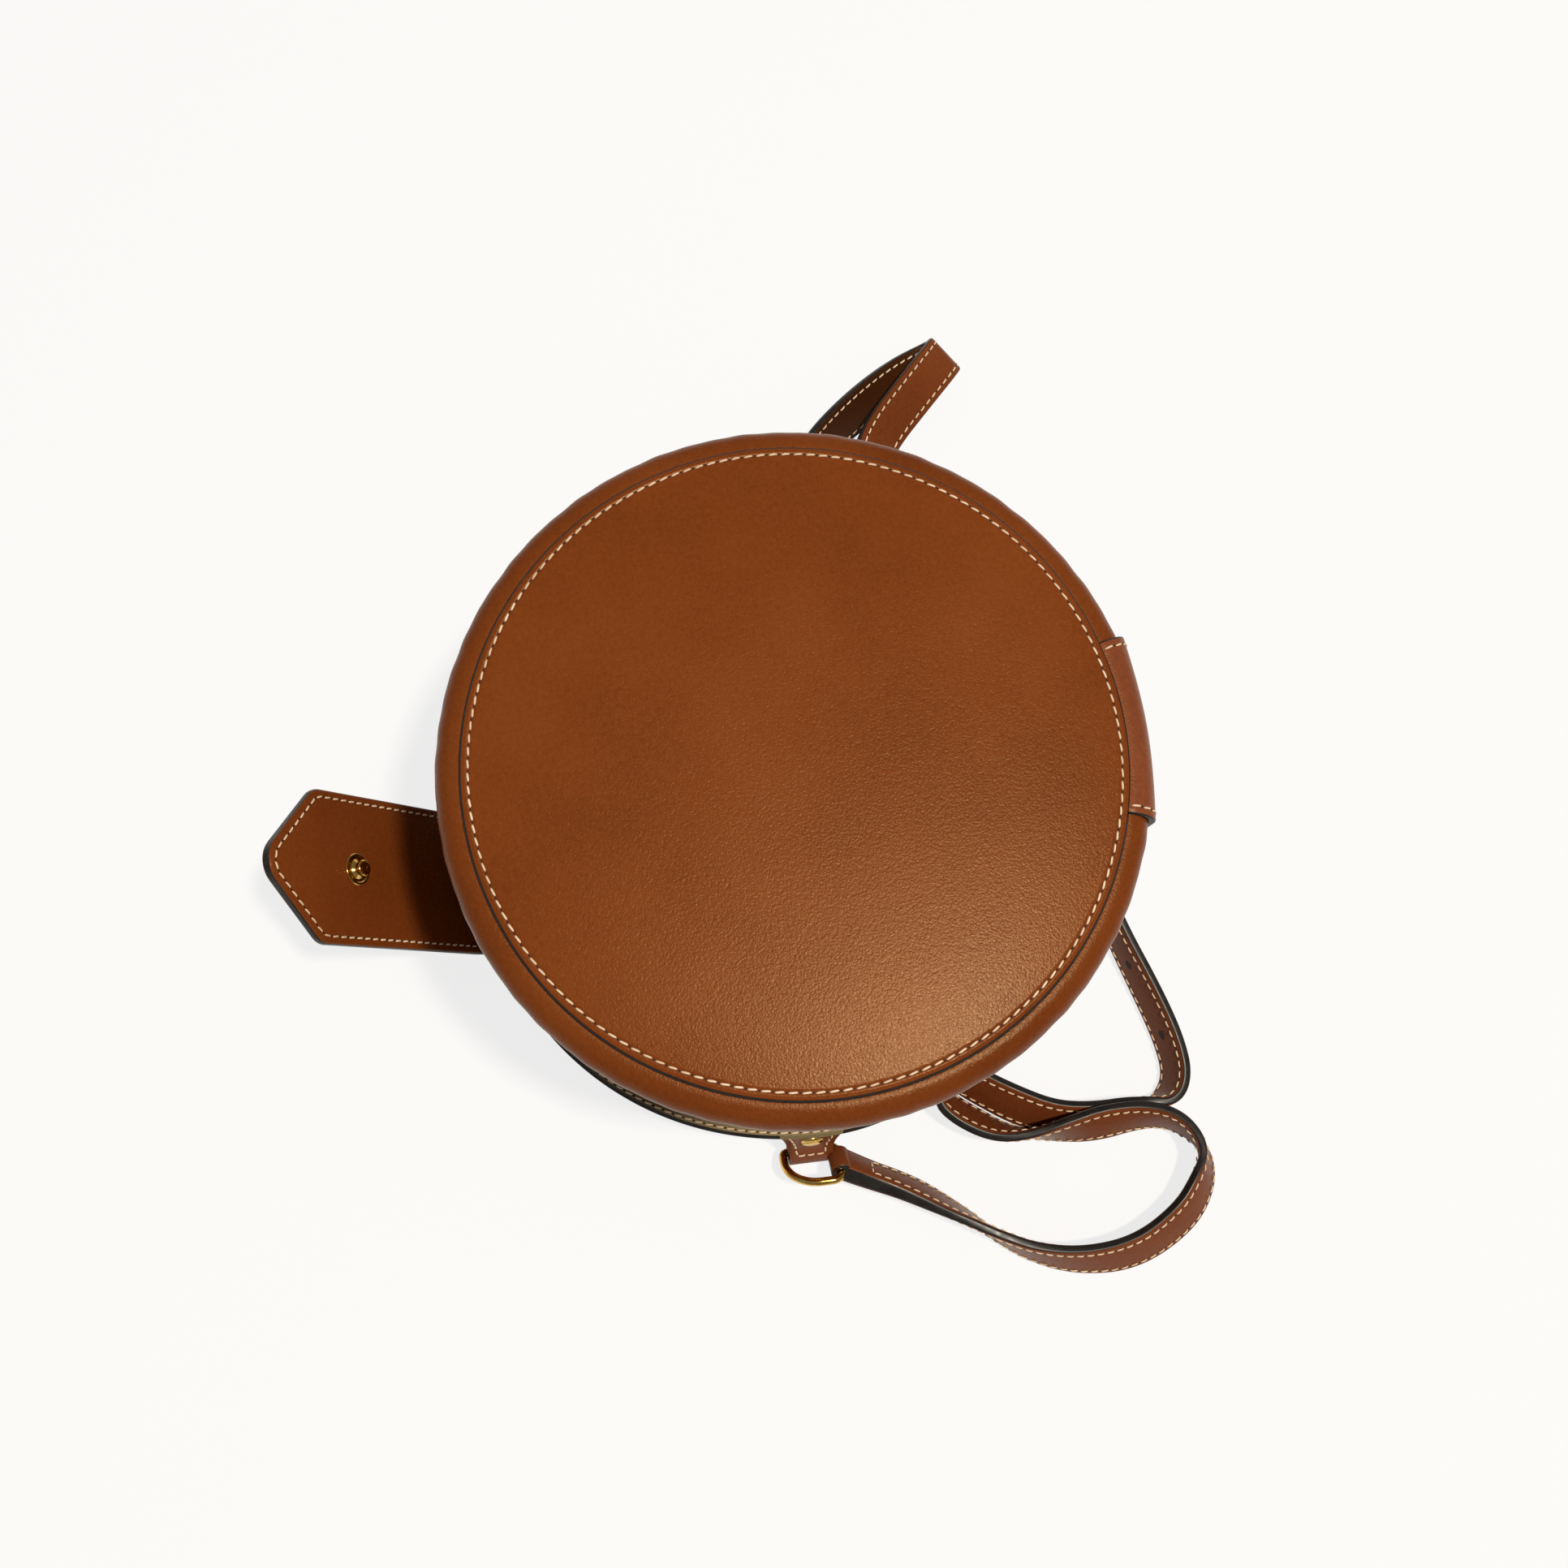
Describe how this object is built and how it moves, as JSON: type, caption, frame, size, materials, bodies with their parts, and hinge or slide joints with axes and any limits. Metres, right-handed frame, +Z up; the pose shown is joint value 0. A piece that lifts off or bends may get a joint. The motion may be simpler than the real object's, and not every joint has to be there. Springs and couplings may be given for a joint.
{
  "type": "round leather box bag",
  "caption": "Round hat-box style leather shoulder bag with stitched rolled rims, a lid hinged on a sewn belt, a snap closure tab and an adjustable strap.",
  "frame": {"origin": "centre of the base panel's resting face", "axes": "+Z up through the lid, -Y towards the closure tab, +Y towards the hinge belt, +X and -X to the rings"},
  "size_m": [0.3447, 0.2953, 0.146],
  "materials": {
    "tan_leather": "satin grain",
    "brass": "polished",
    "board": "matte",
    "lining": "matte",
    "rim_cord": "matte"
  },
  "bodies": {
    "base": {"base_panel": "tan_leather", "base_rim": "tan_leather", "base_wall": "tan_leather", "base_flange": "tan_leather", "hinge_leaf": "tan_leather", "tab_root": "tan_leather", "right_ear": "tan_leather", "left_ear": "tan_leather", "strap_long": "tan_leather", "strap_short": "tan_leather", "base_collar": "tan_leather", "right_rivet": "brass", "left_rivet": "brass", "buckle_frame": "brass", "base_board": "board", "base_lining": "lining", "base_rim_core": "rim_cord"},
    "lid": {"lid_panel": "tan_leather", "lid_board": "board", "lid_rim": "tan_leather", "lid_rim_core": "rim_cord", "lid_wall": "tan_leather", "lid_lining": "lining", "back_belt": "tan_leather", "snap_socket": "brass", "socket_backing": "brass"},
    "tab": {"closure_tab": "tan_leather", "tab_facing": "tan_leather", "snap_stud": "brass", "snap_cap": "brass"},
    "right_ring": {"right_ring": "brass"},
    "left_ring": {"left_ring": "brass"},
    "prong": {"buckle_prong": "brass"},
    "keeper": {"strap_keeper": "tan_leather"}
  },
  "joints": [
    {"name": "lid_hinge", "type": "hinge", "parent": "base", "child": "lid", "pos_m": [0, 0.0998, 0.03], "axis": [-1, 0, 0], "range_deg": [0, 90]},
    {"name": "tab_hinge", "type": "hinge", "parent": "base", "child": "tab", "pos_m": [0, -0.103, 0.0026], "axis": [1, 0, 0], "range_deg": [-34.7, 57]},
    {"name": "right_ring_swing", "type": "hinge", "parent": "base", "child": "right_ring", "pos_m": [0.103, 0.0006, 0.006], "axis": [0, -1, 0], "range_deg": [-10, 30], "deforming": ["strap_long"]},
    {"name": "left_ring_swing", "type": "hinge", "parent": "base", "child": "left_ring", "pos_m": [-0.103, 0.0006, 0.006], "axis": [0, 1, 0], "range_deg": [-10, 30], "deforming": ["strap_short"]},
    {"name": "prong_pivot", "type": "hinge", "parent": "base", "child": "prong", "pos_m": [-0.012, 0.1077, 0.0122], "axis": [0, 0, 1], "range_deg": [0, 15]},
    {"name": "keeper_slide", "type": "slide", "parent": "base", "child": "keeper", "axis": [1, 0, 0], "range_m": [-0.008, 0.006]}
  ]
}
